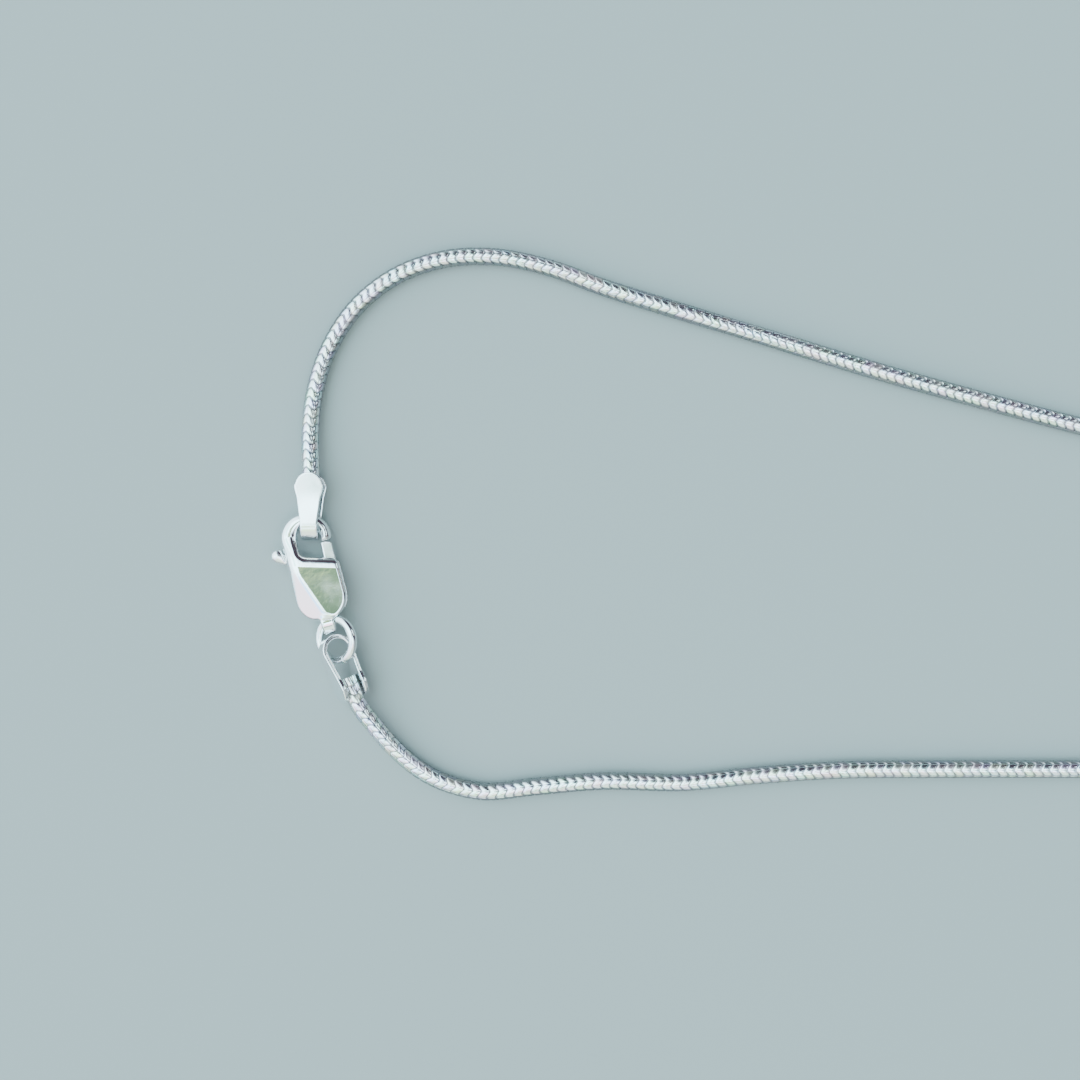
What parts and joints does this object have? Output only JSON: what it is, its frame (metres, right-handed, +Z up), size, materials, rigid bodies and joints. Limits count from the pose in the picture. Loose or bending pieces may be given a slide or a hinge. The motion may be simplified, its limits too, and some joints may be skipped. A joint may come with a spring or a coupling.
{
  "type": "snake chain necklace",
  "caption": "Round snake chain necklace lying closed on a flat surface, with folded strap end tabs, a jump ring and a sprung lobster clasp.",
  "frame": {"origin": "on the surface that the necklace lies on, under the middle of its box", "axes": "+X from the clasp to the far bend of the loop, +Y across the loop, +Z up from the surface"},
  "size_m": [0.2064, 0.0503, 0.0034],
  "materials": {
    "chain_silver": "polished links, dark in the grooves",
    "tab_silver": "polished",
    "clasp_silver": "tumbled polish",
    "lever_silver": "tumbled polish",
    "ring_silver": "polished wire"
  },
  "bodies": {
    "necklace": {"snake_chain": "chain_silver", "hook_end_tab": "tab_silver", "ring_end_tab": "tab_silver", "clasp_body": "clasp_silver", "clasp_pin": "clasp_silver", "jump_ring": "ring_silver"},
    "lever": {"clasp_lever": "lever_silver"}
  },
  "joints": [
    {"name": "lever_hinge", "type": "hinge", "parent": "necklace", "child": "lever", "pos_m": [-0.09792, -0.00493, 0.00147], "axis": [0.0674, 0.0181, 0.9976], "range_deg": [0, 20], "stiffness_Nm_per_rad": 0.004, "springref_deg": -20.05}
  ]
}
